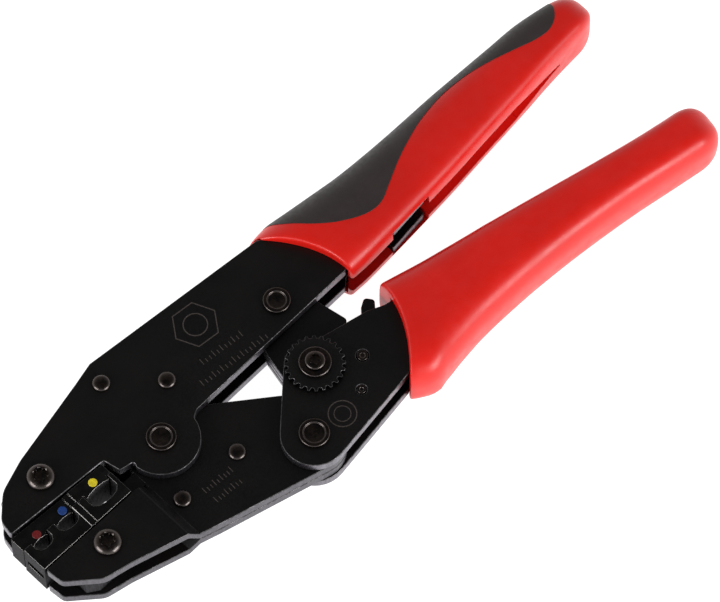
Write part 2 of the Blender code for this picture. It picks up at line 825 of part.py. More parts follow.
MOVING_GRIP = {
    "start": 70.6,
    "end": 168.0,
    "cap": 8.5,
    "fade": 30.0,
    "lean": 0.177,
    "squareness": 3.2,
    "mouth": lambda y: 70.6 - 0.0213 * (min(y, -8) + 8) ** 2,
    "low": [
        (70.6, -35.0),
        (75, -36.8),
        (79, -37.1),
        (84, -35.0),
        (90, -34.0),
        (98, -33.9),
        (108, -34.9),
        (121, -36.5),
        (138, -39.0),
        (151, -41.1),
        (170, -43.6),
    ],
    "high": [
        (70.6, -9.3),
        (75, -9.9),
        (82, -11.5),
        (93, -14.4),
        (108, -17.6),
        (120, -20.3),
        (138, -24.4),
        (151, -26.8),
        (170, -29.2),
    ],
    "thick": [(70.6, 10.0), (76, 10.2), (84, 9.9), (120, 9.5), (150, 9.1), (170, 8.8)],
}


def grip_body(name, grip, owner, finish, inset=0.0, helper=False):
    solid = Solid()
    solid.loft(grip_sections(solid, grip, inset))
    # Sections run along +X with their points turning from +Y to +Z, so the loft faces outwards as it is.
    return (cutter if helper else piece)(name, solid, owner, finish)


def inlay_outline(grow):
    corners = [
        (64.2, 22.6, 0),
        (72.6, 11.6, 12.0),
        (80.8, 6.0, 6.0),
        (87.2, 6.9, 6.0),
        (98.0, 13.6, 18.0),
        (115.0, 17.4, 20.0),
        (133.0, 17.6, 15.0),
        (147.5, 11.2, 8.0),
        (155.6, 10.6, 4.0),
        (160.8, 15.5, 3.0),
        (161.8, 34.0, 0),
        (58.5, 34.0, 0),
    ]
    return grown(rounded(corners), grow)


def make_fixed_grip(frame, red, soft):
    shell = grip_body("fixed_grip", FIXED_GRIP, frame, red)
    inlay = grip_body("fixed_grip_inlay", FIXED_GRIP, frame, soft)
    region = flat_cutter("inlay_region", inlay_outline(0), -15, 15, frame, soft)
    inner_core = grip_body("inlay_core", FIXED_GRIP, frame, soft, 2.0, True)
    recess = flat_cutter("inlay_recess", inlay_outline(GAP), -15, 15, frame, soft)
    outer_core = grip_body("recess_core", FIXED_GRIP, frame, soft, 2.0 + GAP, True)
    combine(inlay, region, "INTERSECT")
    combine(inlay, inner_core, "DIFFERENCE")
    combine(recess, outer_core, "DIFFERENCE")
    combine(shell, recess, "DIFFERENCE")
    pocket = [(45, 25.2), (57.3, 23.7), (62.4, 20.0), (TANG_END + 0.4, 13.4), (TANG_END + 0.4, 4.6)]
    pocket += [(69.9, 2.0), (67.9, 0), (45, -0.2)]
    reach = OUTER_HIGH + GAP
    combine(shell, flat_cutter("fixed_grip_pocket", pocket, -reach, reach, frame, red), "DIFFERENCE")
    slot = rounded([(55, -8, 0), (150, -4, 2.0), (150, 12.0, 3.0), (90, 13.5, 0), (55, 13.5, 0)])
    combine(shell, flat_cutter("fixed_grip_slot", slot, -3.6, 3.6, frame, red), "DIFFERENCE")
    window = rounded([(83.5, -5, 0), (98.0, -4, 0), (98.0, 8.0, 1.0), (83.5, 8.0, 1.0)])
    opening = flat_cutter("fixed_grip_window", window, -reach + 0.1, reach - 0.1, frame, red)
    combine(shell, opening, "DIFFERENCE")


def make_moving_grip(handle, red):
    grip = grip_body("moving_grip", MOVING_GRIP, handle, red)
    pocket = [(40, -8), (67.6, -13.1), (108.4, -19.6), (108.4, -27.0)]
    pocket += [(63.4, -29.4), (58.0, -32.4), (40, -35)]
    reach = OUTER_HIGH + GAP
    combine(grip, flat_cutter("moving_grip_pocket", pocket, -reach, reach, handle, red), "DIFFERENCE")


# ---------------------------------------------------------------- assembly


def stand_on_origin(root):
    """Moves the tool so that the middle of its underside is at the origin."""
    bpy.context.view_layer.update()
    graph = bpy.context.evaluated_depsgraph_get()
    corners = []
    for shape in bpy.data.objects:
        if shape.type == "MESH" and not shape.hide_render:
            evaluated = shape.evaluated_get(graph)
            corners += [evaluated.matrix_world @ Vector(corner) for corner in evaluated.bound_box]
    low = [min(corner[k] for corner in corners) for k in range(3)]
    high = [max(corner[k] for corner in corners) for k in range(3)]
    root.location = (-(low[0] + high[0]) / 2, -(low[1] + high[1]) / 2, -low[2])
    bpy.context.view_layer.update()


def main():
    clear_scene()
    black = material("black_oxide_steel", (0.012, 0.012, 0.014), 0.38, 0.7)
    pin_steel = material("dark_pin_steel", (0.03, 0.03, 0.032), 0.3, 0.9)
    spring_steel = material("spring_steel", (0.45, 0.45, 0.45), 0.3, 1.0)
    red = material("red_plastic", (0.66, 0.012, 0.014), 0.32, 0.0)
    soft = material("soft_grey_inlay", (0.035, 0.03, 0.028), 0.6, 0.0)

    frame = body("frame", (0.0, 0.0), None)
    jaw = body("moving_jaw", MAIN_PIVOT, frame)
    handle = body("moving_handle", HANDLE_PIVOT, jaw)
    link = body("toggle_link", ECCENTRIC, handle)
    pawl = body("pawl_arm", PAWL_PIVOT, handle)
    adjuster = body("adjuster", ECCENTRIC, handle)

    make_frame_plates(frame, black)
    for i, centre in enumerate(FRAME_RIVETS, 1):
        make_shouldered_rivet(f"frame_rivet_{i}", centre, frame, pin_steel)
    make_tang_rivet("frame_tang_rivet", TANG_RIVET, frame, pin_steel)
    make_ring_pin("main_pivot_pin", MAIN_PIVOT, PIN_RADIUS, 4.0, frame, pin_steel)
    make_ring_pin("link_pivot_pin", LINK_PIVOT, LINK_PIN_RADIUS, 3.7, frame, pin_steel)
    make_button_screw("fixed_die_screw", (DIE_SCREW_X, FIXED_SCREW_Y), frame, pin_steel)
    make_die("fixed_die", FIXED_SCREW_Y, True, frame, black)
    make_fixed_grip(frame, red, soft)

    for side in ("front", "back"):
        make_jaw_plate(side, jaw, black)
    for i, centre in enumerate(JAW_RIVETS, 1):
        make_jaw_rivet(f"jaw_rivet_{i}", centre, jaw, pin_steel)
    make_button_screw("moving_die_screw", (DIE_SCREW_X, MOVING_SCREW_Y), jaw, pin_steel)
    make_die("moving_die", MOVING_SCREW_Y, False, jaw, black)

    make_handle_plates(handle, black)
    make_ring_pin("handle_pivot_pin", HANDLE_PIVOT, PIN_RADIUS, 4.1, handle, pin_steel)
    make_tang_rivet("handle_tang_rivet", HANDLE_TANG_RIVET, handle, pin_steel)
    make_moving_grip(handle, red)
    make_link(link, black)
    make_pawl(pawl, handle, pin_steel)
    make_adjuster(adjuster, pin_steel, black)
    make_springs(frame, handle, spring_steel)
    stand_on_origin(frame)


main()
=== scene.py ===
"""Looks of a ratcheting crimping tool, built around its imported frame.

Plan coordinates are millimetres from the main pivot: +X towards the handles, +Y towards the fixed
handle and +Z out of the front plates. place() turns them into the frame's metres.
"""

import math

import bmesh
import bpy
from mathutils import Matrix, Vector


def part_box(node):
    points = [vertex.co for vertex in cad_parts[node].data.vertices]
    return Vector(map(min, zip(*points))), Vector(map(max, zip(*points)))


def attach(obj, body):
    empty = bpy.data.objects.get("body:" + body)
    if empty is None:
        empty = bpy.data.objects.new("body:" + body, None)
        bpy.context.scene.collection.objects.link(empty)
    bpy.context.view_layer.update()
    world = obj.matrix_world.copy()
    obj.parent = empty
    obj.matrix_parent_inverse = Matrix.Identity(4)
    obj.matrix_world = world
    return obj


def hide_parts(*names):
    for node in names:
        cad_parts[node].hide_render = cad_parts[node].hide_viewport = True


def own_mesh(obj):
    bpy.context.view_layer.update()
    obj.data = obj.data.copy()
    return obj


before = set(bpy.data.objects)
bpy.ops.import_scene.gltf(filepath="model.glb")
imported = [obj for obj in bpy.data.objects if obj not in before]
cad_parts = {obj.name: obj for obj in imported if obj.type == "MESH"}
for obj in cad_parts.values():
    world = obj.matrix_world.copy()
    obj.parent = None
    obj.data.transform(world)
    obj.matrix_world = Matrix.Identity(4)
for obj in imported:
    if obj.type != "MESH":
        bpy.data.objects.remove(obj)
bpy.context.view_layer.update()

MM = 0.001
PIVOT_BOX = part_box("main_pivot_pin")
ORIGIN = (PIVOT_BOX[0] + PIVOT_BOX[1]) / 2

# Faces of the plates, measured from the middle plane.
INNER_FACE = 3.15
OUTER_FACE = 6.45
GAP = 0.25

# Axes in plan.
LINK_PIVOT = (48.4, 6.8)
HANDLE_PIVOT = (28.6, -27.0)
ECCENTRIC = (42.4, -13.4)
PAWL_PIVOT = (53.2, -19.9)
SPRING_PIN = (46.2, -26.6)
SPRING_LUG = (44.6, 15.6)
FRAME_RIVETS = [(-0.2, 22.0), (12.4, 10.7)]
JAW_RIVETS = [(-7.2, -15.0), (12.0, -15.5)]
DIE_SCREWS = {
    "fixed_die_screw": ((-30.8, 13.8), "frame"), "moving_die_screw": ((-30.8, -11.4), "moving_jaw")
}

HEAD_SHIFT = {"frame": 1.2, "moving_jaw": 0.7}

# Upright share of a face's normal, on a part's flanks and on the bent stretch of a plate.
FLANK_TILT = (0, 0.3)
BEND_TILT = (0.2, 0.96)


def place(x, y, z=0.0):
    return ORIGIN + Vector((x, y, z)) * MM


# ---------------------------------------------------------------- materials


class Finish:
    """A Principled material under construction, with texture coordinates in the piece's millimetres."""

    def __init__(self, name, colour, roughness, metallic=0.0):
        self.material = bpy.data.materials.new(name)
        self.material.use_nodes = True
        self.material.diffuse_color = (*colour, 1)
        self.tree = self.material.node_tree
        self.shader = self.tree.nodes["Principled BSDF"]
        self.shader.inputs["Base Color"].default_value = (*colour, 1)
        self.shader.inputs["Roughness"].default_value = roughness
        self.shader.inputs["Metallic"].default_value = metallic
        coordinates = self.node("ShaderNodeTexCoord")
        self.normal = coordinates.outputs["Normal"]
        self.position = self.stretched(coordinates.outputs["Object"], (1000, 1000, 1000))

    def node(self, kind, **settings):
        made = self.tree.nodes.new(kind)
        for key, value in settings.items():
            setattr(made, key, value)
        return made

    def feed(self, socket, value):
        if isinstance(value, bpy.types.NodeSocket):
            self.tree.links.new(value, socket)
        else:
            socket.default_value = value

    def stretched(self, vector, scale):
        made = self.node("ShaderNodeVectorMath", operation="MULTIPLY")
        self.feed(made.inputs[0], vector)
        self.feed(made.inputs[1], scale)
        return made.outputs[0]

    def noise(self, scale, detail=3.0, roughness=0.5, stretch=(1, 1, 1)):
        """Noise from 0 to 1, with about `scale` features to the millimetre."""
        made = self.node("ShaderNodeTexNoise")
        self.feed(made.inputs["Vector"], self.stretched(self.position, stretch))
        made.inputs["Scale"].default_value = scale
        made.inputs["Detail"].default_value = detail
        made.inputs["Roughness"].default_value = roughness
        return made.outputs["Fac"]

    def spots(self, scale):
        made = self.node("ShaderNodeTexVoronoi")
        self.feed(made.inputs["Vector"], self.position)
        made.inputs["Scale"].default_value = scale
        return made.outputs["Distance"]

    def ranged(self, value, low, high, to_low, to_high):
        made = self.node("ShaderNodeMapRange", interpolation_type="SMOOTHSTEP")
        for socket, given in zip(made.inputs, (value, low, high, to_low, to_high)):
            self.feed(socket, given)
        return made.outputs["Result"]

    def maths(self, operation, a, b=0.0):
        made = self.node("ShaderNodeMath", operation=operation)
        self.feed(made.inputs[0], a)
        self.feed(made.inputs[1], b)
        return made.outputs[0]

    def mixed(self, factor, a, b):
        made = self.node("ShaderNodeMix", data_type="RGBA")
        self.feed(made.inputs["Factor"], factor)
        for socket, colour in ((made.inputs[6], a), (made.inputs[7], b)):
            self.feed(socket, colour if isinstance(colour, bpy.types.NodeSocket) else (*colour, 1))
        return made.outputs[2]

    def upright(self):
        """1 on surfaces that stand on edge, 0 on those that face up or down."""
        parts = self.node("ShaderNodeSeparateXYZ")
        self.feed(parts.inputs[0], self.normal)
        return self.ranged(self.maths("ABSOLUTE", parts.outputs["Z"]), 0.12, 0.3, 1.0, 0.0)

    def open_share_for_painted_shade(self, reach):
        """1 where nothing stands within reach, falling to 0 in slots and corners; it masks painted
        shade.
        """
        made = self.node("ShaderNodeAmbientOcclusion", samples=6)
        made.inputs["Distance"].default_value = reach * MM
        return self.ranged(made.outputs["AO"], 0.35, 0.95, 0.0, 1.0)

    def edge(self):
        """1 on the narrow bevel between a face and its edge."""
        parts = self.node("ShaderNodeSeparateXYZ")
        self.feed(parts.inputs[0], self.normal)
        tilt = self.maths("ABSOLUTE", parts.outputs["Z"])
        return self.maths(
            "MULTIPLY", self.ranged(tilt, 0.2, 0.45, 0.0, 1.0),
            self.ranged(tilt, 0.8, 0.97, 1.0, 0.0),
        )

    def set(self, socket, value):
        self.feed(self.shader.inputs[socket], value)

    def bump(self, height, strength, distance=0.00005, base=None):
        made = self.node("ShaderNodeBump")
        made.inputs["Strength"].default_value = strength
        made.inputs["Distance"].default_value = distance
        self.feed(made.inputs["Height"], height)
        if base is not None:
            self.feed(made.inputs["Normal"], base)
        self.set("Normal", made.outputs["Normal"])

    def rounded(self, radius):
        made = self.node("ShaderNodeBevel", samples=6)
        made.inputs["Radius"].default_value = radius * MM
        return made.outputs["Normal"]


def plate_finish(name, wall, worn):
    """Black oxide on blanked steel: dark satin faces, lighter sheared edges and worn bevels, with
    painted shade darkening the sheared edges in slots and corners.
    """
    finish = Finish(name, (0.003, 0.003, 0.003), 0.4)
    cloud = finish.noise(0.06, 4)
    grain = finish.noise(2.2, 5, 0.65)
    face = finish.mixed(
        finish.ranged(cloud, 0.3, 0.7, 0, 1), (0.0020, 0.0018, 0.0018), (0.0044, 0.0036, 0.0034)
    )
    streaks = finish.noise(1.6, 4, 0.6, (1, 1, 0.2))
    sheared = finish.mixed(
        finish.ranged(streaks, 0.3, 0.7, 0, 1), tuple(0.6 * value for value in wall), wall
    )
    # Painted shade: the sheared edges go near-black in slots and corners.
    sheared = finish.mixed(finish.open_share_for_painted_shade(2.5), (0.012, 0.011, 0.012), sheared)
    colour = finish.mixed(finish.upright(), face, sheared)
    wear = finish.maths(
        "MULTIPLY", finish.edge(), finish.ranged(finish.noise(0.35, 4, 0.7), 0.42, 0.62, 0.2, 1)
    )
    finish.set("Base Color", finish.mixed(wear, colour, (worn, 0.95 * worn, worn)))
    finish.set("Metallic", finish.maths("MAXIMUM", finish.upright(), wear))
    finish.set("Roughness", finish.ranged(grain, 0.3, 0.7, 0.30, 0.44))
    finish.set("Specular IOR Level", 0.28)
    scratches = finish.noise(0.9, 2, 0.5, (0.06, 1, 1))
    height = finish.maths("ADD", grain, finish.ranged(scratches, 0.62, 0.7, 0.0, 0.5))
    finish.bump(height, 0.10, 0.00004)
    return finish.material


def die_finish():
    """Oiled black dies, smoother than the plates, with fine ground lines and corners painted bright as a
    painted highlight.
    """
    finish = Finish("oiled_die", (0.003, 0.003, 0.003), 0.25)
    ground = finish.noise(4.0, 3, 0.6, (0.15, 1, 1))
    oil = finish.noise(0.25, 4, 0.6)
    face = finish.mixed(
        finish.ranged(oil, 0.35, 0.65, 0, 1), (0.0017, 0.0016, 0.0016), (0.0035, 0.0032, 0.003)
    )
    # Painted highlight: every bevel is painted light and metallic.
    finish.set("Base Color", finish.mixed(finish.edge(), face, (0.16, 0.155, 0.15)))
    finish.set("Metallic", finish.edge())
    finish.set("Roughness", finish.ranged(oil, 0.3, 0.7, 0.18, 0.34))
    finish.set("Specular IOR Level", 0.28)
    finish.bump(ground, 0.08, 0.00003)
    return finish.material


def shaded_die_flank_finish():
    """Dull black flanks and nests of the dies: a nearly unreflective copy of the die steel that stands
    in for the shade in them, with painted shade that darkens them the deeper they lie.
    """
    finish = Finish("die_flank_painted_shade", (0.02, 0.019, 0.02), 0.6)
    ground = finish.noise(2.5, 4, 0.6, (1, 1, 0.2))
    unshaded_wall = finish.mixed(
        finish.ranged(ground, 0.3, 0.7, 0, 1), (0.020, 0.019, 0.020), (0.042, 0.040, 0.043)
    )
    # Painted shade: near-black where the nests and slots close in.
    finish.set(
        "Base Color", finish.mixed(finish.open_share_for_painted_shade(3.5), (0.001, 0.001, 0.001), unshaded_wall)
    )
    finish.set("Specular IOR Level", 0.03)
    finish.set("Roughness", finish.ranged(ground, 0.3, 0.7, 0.5, 0.7))
    finish.bump(ground, 0.08, 0.00003)
    return finish.material


def slope_finish():
    """Black oxide on the bent part of a plate, with fine stretch marks across the bend."""
    finish = Finish("black_oxide_bend", (0.004, 0.0035, 0.0035), 0.4)
    grain = finish.noise(1.8, 4, 0.6, (1, 0.25, 1))
    finish.set(
        "Base Color",
        finish.mixed(
            finish.ranged(grain, 0.3, 0.7, 0, 1), (0.003, 0.0028, 0.0028), (0.007, 0.006, 0.006)
        ),
    )
    finish.set("Roughness", finish.ranged(grain, 0.3, 0.7, 0.4, 0.52))
    finish.set("Specular IOR Level", 0.15)
    finish.bump(grain, 0.1, 0.00004)
    return finish.material


def pin_finish():
    """Dark polished steel with turning marks and a brownish oil film."""
    finish = Finish("dark_pin", (0.05, 0.045, 0.043), 0.24, 1.0)
    film = finish.noise(0.5, 4, 0.6)
    colour = finish.mixed(
        finish.ranged(film, 0.35, 0.65, 0, 1), (0.030, 0.026, 0.025), (0.062, 0.048, 0.042)
    )
    finish.set("Base Color", finish.mixed(finish.edge(), colour, (0.085, 0.074, 0.070)))
    finish.set("Roughness", finish.ranged(finish.noise(1.6, 4), 0.3, 0.7, 0.17, 0.32))
    finish.bump(finish.noise(5.0, 3), 0.08, 0.00003)
    return finish.material


def spring_finish():
    finish = Finish("drawn_wire", (0.5, 0.49, 0.47), 0.28, 1.0)
    drawn = finish.noise(3.0, 3, 0.6, (1, 1, 0.3))
    finish.set(
        "Base Color",
        finish.mixed(finish.ranged(drawn, 0.3, 0.7, 0, 1), (0.32, 0.31, 0.30), (0.55, 0.54, 0.52)),
    )
    finish.set("Roughness", finish.ranged(drawn, 0.3, 0.7, 0.22, 0.38))
    finish.bump(drawn, 0.1, 0.00003)
    return finish.material


def red_finish():
    """Moulded red plastic: fine spark-eroded grain, soft flow shades and a low gloss."""
    finish = Finish("moulded_red", (0.68, 0.0095, 0.005), 0.34)
    flow = finish.noise(0.045, 3)
    finish.set(
        "Base Color",
        finish.mixed(
            finish.ranged(flow, 0.3, 0.7, 0, 1), (0.63, 0.0085, 0.004), (0.70, 0.0105, 0.0055)
        ),
    )
    grain = finish.noise(5.5, 3, 0.6)
    finish.set("Roughness", finish.ranged(finish.noise(0.3, 4), 0.3, 0.7, 0.30, 0.40))
    finish.set("IOR", 1.5)
    finish.bump(grain, 0.07, 0.00003, finish.rounded(0.3))
    return finish.material


def inlay_finish():
    """Soft grey-brown moulding with a matt, slightly pitted skin."""
    finish = Finish("soft_inlay", (0.026, 0.018, 0.0165), 0.5)
    cloud = finish.noise(0.12, 4, 0.6)
    finish.set(
        "Base Color",
        finish.mixed(
            finish.ranged(cloud, 0.3, 0.7, 0, 1), (0.022, 0.0155, 0.014), (0.029, 0.0205, 0.019)
        ),
    )
    finish.set("Roughness", finish.ranged(finish.noise(0.8, 4), 0.3, 0.7, 0.48, 0.62))
    height = finish.maths(
        "ADD", finish.noise(4.0, 4, 0.65), finish.ranged(finish.spots(1.3), 0.0, 0.12, -0.6, 0.0)
    )
    finish.bump(height, 0.12, 0.00004, finish.rounded(0.15))
    return finish.material


def enamel_finish(name, colour):
    finish = Finish(name, colour, 0.35)
    dark = tuple(0.75 * value for value in colour)
    finish.set(
        "Base Color",
        finish.mixed(finish.ranged(finish.noise(2.2, 4, 0.7), 0.35, 0.62, 0, 1), dark, colour),
    )
    finish.set("Roughness", finish.ranged(finish.noise(3.0, 3), 0.3, 0.7, 0.25, 0.5))
    finish.bump(finish.noise(3.5, 4), 0.25, 0.00005)
    return finish.material


def mark_finish():
    """Laser marking: a matt brown-grey skin that breaks up at its edges."""
    finish = Finish("laser_mark", (0.06, 0.047, 0.041), 0.6)
    broken = finish.noise(3.0, 4, 0.75)
    finish.set(
        "Base Color",
        finish.mixed(
            finish.ranged(broken, 0.35, 0.6, 0, 1), (0.014, 0.012, 0.011), (0.055, 0.043, 0.038)
        ),
    )
    finish.set("Roughness", finish.ranged(broken, 0.3, 0.7, 0.5, 0.7))
    finish.bump(broken, 0.2, 0.00003)
    return finish.material


PLATE = plate_finish("black_oxide_plate", (0.21, 0.195, 0.225), 0.12)
# Painted shade: the jaw plates' copy of the plate finish has darker sheared walls than the frame plates'
# copy of the same steel.
JAW_SHADED_WALLS = plate_finish("black_oxide_jaw_shaded_walls", (0.105, 0.098, 0.114), 0.12)
SLOPE = slope_finish()
SMALL_STEEL = plate_finish("black_oxide_small", (0.03, 0.028, 0.03), 0.10)
DIE = die_finish()
DIE_FLANK_SHADED = shaded_die_flank_finish()
PIN = pin_finish()
WIRE = spring_finish()
RED = red_finish()
SOFT = inlay_finish()
MARK = mark_finish()


# ---------------------------------------------------------------- making pieces


# Faces below this area, in square metres, keep a piece's first material.
SMALL_FACE = 1e-6


def smooth(mesh, angle=30):
    mesh.shade_smooth()
    mesh.set_sharp_from_angle(angle=math.radians(angle))


def made_object(name, mesh, material):
    mesh.materials.clear()
    mesh.materials.append(material)
    made = bpy.data.objects.new(name, mesh)
    bpy.context.scene.collection.objects.link(made)
    return made


def piece(name, vertices, faces, material, body, replaced=(), slot=None, angle=30):
    """Mesh piece from plan millimetres, riding on a body and standing for CAD nodes."""
    mesh = bpy.data.meshes.new(name)
    mesh.from_pydata([place(*vertex) for vertex in vertices], [], faces)
    mesh.validate()
    smooth(mesh, angle)
    made = made_object(name, mesh, material)
    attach(made, body)
    if replaced:
        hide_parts(*replaced)
    return made


def bevelled(node, width, material, body, second=None, tilt=(0, 0)):
    """Copy of a CAD node with its flat faces joined up and its edges rounded, shown in the node's place.

    Faces whose normal's upright share lies within tilt take the second material.
    """
    shape = bmesh.new()
    shape.from_mesh(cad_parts[node].data)
    bmesh.ops.remove_doubles(shape, verts=shape.verts, dist=2e-6)
    bmesh.ops.dissolve_limit(
        shape, angle_limit=math.radians(1), verts=shape.verts, edges=shape.edges
    )
    mesh = bpy.data.meshes.new(f"{node}_finished")
    shape.to_mesh(mesh)
    shape.free()
    smooth(mesh, 28)
    made = made_object(f"{node}_finished", mesh, material)
    if second:
        mesh.materials.append(second)
        for face in mesh.polygons:
            face.material_index = int(
                tilt[0] <= abs(face.normal.z) < tilt[1] and face.area > SMALL_FACE
            )
    bevel = made.modifiers.new("edge", "BEVEL")
    bevel.width = width * MM
    bevel.segments = 2
    bevel.limit_method = "ANGLE"
    bevel.angle_limit = math.radians(32)
    bevel.use_clamp_overlap = False
    bevel.miter_outer = "MITER_ARC"
    normals = made.modifiers.new("normals", "WEIGHTED_NORMAL")
    normals.keep_sharp = True
    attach(made, body)
    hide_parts(node)
    return made


def ring(centre, radius, z, count):
    angles = [2 * math.pi * i / count for i in range(count)]
    return [(centre[0] + radius * math.cos(a), centre[1] + radius * math.sin(a), z) for a in angles]


def bridged(rings):
    """Vertices and faces of a closed skin over rings of points; an end may be a single point."""
    vertices, faces, spans = [], [], []
    for points in rings:
        spans.append(range(len(vertices), len(vertices) + len(points)))
        vertices += points
    for lower, upper in zip(spans, spans[1:]):
        count = max(len(lower), len(upper))
        for i in range(count):
            j = (i + 1) % count
            if len(lower) == 1:
                faces.append((lower[0], upper[j], upper[i]))
            elif len(upper) == 1:
                faces.append((lower[i], lower[j], upper[0]))
            else:
                faces.append((lower[i], lower[j], upper[j], upper[i]))
    return vertices, faces


def eased(corners, steps=4):
    """Profile through corners of (radius, z, easing), with each eased corner cut back and rounded."""
    points = []
    for i, (radius, z, easing) in enumerate(corners):
        here = Vector((radius, z))
        if not easing:
            points.append(tuple(here))
            continue
        before = here + (Vector(corners[i - 1][:2]) - here).normalized() * easing
        after = here + (Vector(corners[i + 1][:2]) - here).normalized() * easing
        for k in range(steps + 1):
            t = k / steps
            point = before * (1 - t) ** 2 + here * 2 * t * (1 - t) + after * t**2
            points.append(tuple(point))
    return points


def turned(name, centre, profile, body, node, steps=56):
    """Turned piece whose profile of (radius, z) runs up from the axis and back to it."""
    rings = [
        ring(centre, radius, z, steps) if radius > 0 else [(*centre, z)] for radius, z in profile
    ]
    vertices, faces = bridged(rings)
    return piece(name, vertices, faces, PIN, body, [node], "dark_pin_steel")


def both_ends(half):
    """Profile that runs from the axis at the back to the axis at the front, the same at both ends."""
    return [(radius, -z) for radius, z in half[::-1]] + half


# ---------------------------------------------------------------- pins, rivets and screws


def ring_pin(node, centre, shank, head, body):
    """Pivot pin with ends riveted over into a rounded ring around a shallow dish."""
    face = OUTER_FACE + GAP
    half = [(shank, face - 0.1, 0), (shank, face, 0), (head, face, 0.08), (head, face + 1.0, 0.45)]
    half += [
        (head - 1.15, face + 1.0, 0.3), (head - 1.35, face + 0.55, 0.15), (0.9, face + 0.48, 0.3),
        (0, face + 0.42, 0),
    ]
    turned(f"{node}_finished", centre, both_ends(eased(half)), body, node)


def domed_rivet(node, centre, face, body, shoulder):
    """Low domed rivet. Between the frame plates its middle is thicker."""
    dome = [(1.6, face - 0.1), (1.6, face), (2.4, face), (2.4, face + 0.12)]
    dome += [
        (2.4 * math.cos(a), face + 0.12 + 0.98 * math.sin(a))
        for a in [math.radians(d) for d in range(10, 90, 10)]
    ]
    dome.append((0, face + 1.1))
    stem = [(2.6, 0.0), (2.6, INNER_FACE), (1.6, INNER_FACE)] if shoulder else []
    half = stem[1:] + dome
    turned(f"{node}_finished", centre, both_ends(half), body, node, 40)


def star(centre, radius, z, count):
    points = []
    for i in range(count):
        angle = 2 * math.pi * i / count
        reach = radius * (1 + 0.16 * math.cos(6 * angle))
        points.append((centre[0] + reach * math.cos(angle), centre[1] + reach * math.sin(angle), z))
    return points


def socket_screw(node, centre, body, shank, head, face, foot, height, socket):
    """Button-head screw with a six-lobed socket."""
    count = 72
    rings = [
        [(*centre, foot)], ring(centre, shank - 0.3, foot, count),
        ring(centre, shank, foot + 0.3, count),
    ]
    rings += [
        ring(centre, shank, face, count), ring(centre, head - 0.1, face, count),
        ring(centre, head, face + 0.1, count),
    ]
    for degrees in range(0, 70, 10):
        angle = math.radians(degrees)
        rings.append(
            ring(
                centre, head * math.cos(angle), face + 0.3 + (height - 0.3) * math.sin(angle), count
            )
        )
    crown = face + height
    rings.append(ring(centre, socket * 1.24, crown - 0.02, count))
    rings += [star(centre, socket * 1.06, crown, count), star(centre, socket, crown - 0.12, count)]
    rings += [
        star(centre, socket * 0.98, crown - 0.62 * height, count), [(*centre, crown - 0.8 * height)]
    ]
    vertices, faces = bridged(rings)
    piece(f"{node}_finished", vertices, faces, PIN, body, [node], "dark_pin_steel")


def small_pin(node, centre, radius):
    end = OUTER_FACE + 0.15
    half = [
        (radius, end - 0.6, 0), (radius, end, 0.2), (0.55 * radius, end - 0.02, 0.1),
        (0.4 * radius, end - 0.18, 0.08),
    ]
    half.append((0, end - 0.2, 0))
    turned(f"{node}_finished", centre, both_ends(eased(half)), "moving_handle", node, 40)


def make_fasteners():
    ring_pin("main_pivot_pin", (0, 0), 3.0, 4.0, "frame")
    ring_pin("link_pivot_pin", LINK_PIVOT, 2.9, 3.7, "frame")
    ring_pin("handle_pivot_pin", HANDLE_PIVOT, 3.0, 4.1, "moving_handle")
    for i, centre in enumerate(FRAME_RIVETS, 1):
        domed_rivet(f"frame_rivet_{i}", centre, OUTER_FACE + GAP, "frame", True)
    for i, centre in enumerate(JAW_RIVETS, 1):
        domed_rivet(f"jaw_rivet_{i}", centre, INNER_FACE + GAP, "moving_jaw", False)
    for node, (centre, body) in DIE_SCREWS.items():
        centre = (centre[0] + HEAD_SHIFT[body], centre[1])
        socket_screw(node, centre, body, 2.0, 3.75, OUTER_FACE + GAP, -6.3, 2.0, 1.75)
    wheel_top = OUTER_FACE + GAP + 1.5
    socket_screw(
        "adjuster_screw", ECCENTRIC, "adjuster", 1.5, 2.7, wheel_top + 1.2 + GAP, -1.5, 1.05, 1.3
    )
    small_pin("pawl_pin", PAWL_PIVOT, 1.5)
    small_pin("pawl_spring_pin", SPRING_PIN, 1.2)


# ---------------------------------------------------------------- plates, dies, link, pawl and wheel


def make_plates():
    owners = {
        "frame_plate": "frame", "jaw_plate": "moving_jaw", "handle_plate": "moving_handle",
        "link_plate": "toggle_link",
    }
    for stem, body in owners.items():
        for side in ("front", "back", "middle"):
            node = f"{stem}_{side}"
            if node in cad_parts:
                finish = JAW_SHADED_WALLS if body == "moving_jaw" else PLATE
                bevelled(
                    node, 0.22, finish, body, second=SLOPE, tilt=BEND_TILT
                )
    bevelled("adjusting_wheel", 0.14, SMALL_STEEL, "adjuster")
    bevelled("ratchet_pawl", 0.2, SMALL_STEEL, "pawl_arm")
    bevelled("eccentric_pin", 0.15, PIN, "adjuster")
    bevelled("fixed_die", 0.12, DIE, "frame", second=DIE_FLANK_SHADED, tilt=FLANK_TILT)
    bevelled("moving_die", 0.12, DIE, "moving_jaw", second=DIE_FLANK_SHADED, tilt=FLANK_TILT)
    bevelled("frame_tang_rivet", 0.1, PIN, "frame")
    bevelled("handle_tang_rivet", 0.1, PIN, "moving_handle")


def make_gap_shade_block():
    """Dark block between the jaw plates, behind the moving die, put there as painted shade to close the
    see-through gap.
    """
    corners = [(-15.4, -5.4), (-10.2, -5.4), (-10.2, -0.9), (-15.4, -0.9)]
    vertices = [(x, y, z) for z in (-3.0, 3.0) for x, y in corners]
    faces = [(3, 2, 1, 0), (4, 5, 6, 7)] + [
        (i, (i + 1) % 4, 4 + (i + 1) % 4, 4 + i) for i in range(4)
    ]
    # A dark block standing in for the shade in the gap.
    piece("jaw_gap_shade_block", vertices, faces, SMALL_STEEL, "moving_jaw", slot="black_oxide_steel")


